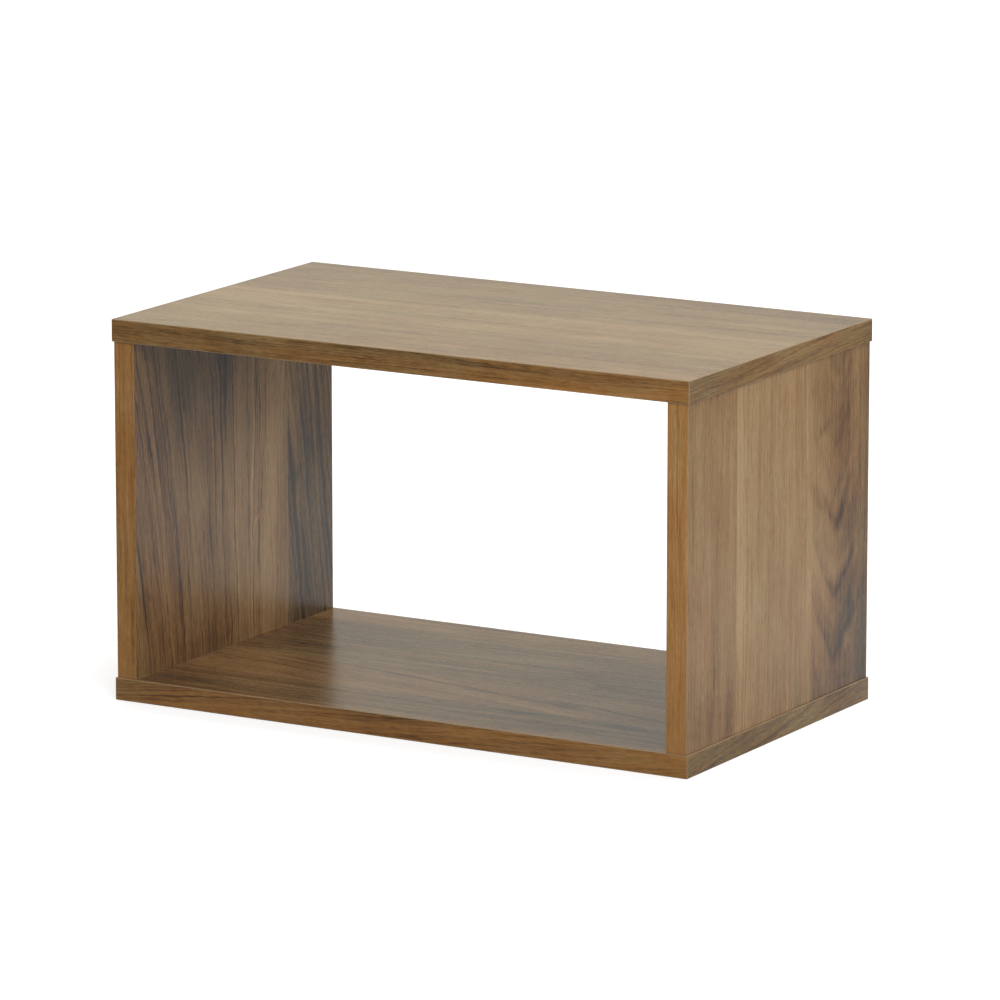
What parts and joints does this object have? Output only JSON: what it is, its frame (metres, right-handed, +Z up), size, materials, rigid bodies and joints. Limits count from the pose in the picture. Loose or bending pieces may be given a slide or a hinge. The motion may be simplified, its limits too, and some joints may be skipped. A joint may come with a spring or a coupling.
{
  "type": "cube storage unit",
  "caption": "Open storage box in walnut-effect board, open at front and back, with sides standing between a slightly overhanging top and base; holds books, binders or records.",
  "frame": {"origin": "on the floor, under the middle of the base board", "axes": "+X along the width to the right seen from the front, +Y from front to back, +Z up"},
  "size_m": [0.6, 0.35, 0.357],
  "materials": {
    "walnut_laminate": "satin decor laminate printed as walnut",
    "edge_band": "satin edging printed as walnut, warmer than the faces",
    "particleboard": "raw pressed chips",
    "beech_dowel": "raw fluted beech"
  },
  "bodies": {
    "root": {"top_board_core": "particleboard", "top_board_upper_sheet": "walnut_laminate", "top_board_lower_sheet": "walnut_laminate", "top_board_front_band": "edge_band", "top_board_rear_band": "edge_band", "top_board_left_band": "edge_band", "top_board_right_band": "edge_band", "base_board_core": "particleboard", "base_board_upper_sheet": "walnut_laminate", "base_board_lower_sheet": "walnut_laminate", "base_board_front_band": "edge_band", "base_board_rear_band": "edge_band", "base_board_left_band": "edge_band", "base_board_right_band": "edge_band", "left_side_core": "particleboard", "left_side_outer_sheet": "walnut_laminate", "left_side_inner_sheet": "walnut_laminate", "left_side_front_band": "edge_band", "left_side_rear_band": "edge_band", "right_side_core": "particleboard", "right_side_outer_sheet": "walnut_laminate", "right_side_inner_sheet": "walnut_laminate", "right_side_front_band": "edge_band", "right_side_rear_band": "edge_band", "top_left_dowels": "beech_dowel", "top_right_dowels": "beech_dowel", "base_left_dowels": "beech_dowel", "base_right_dowels": "beech_dowel"}
  },
  "joints": []
}
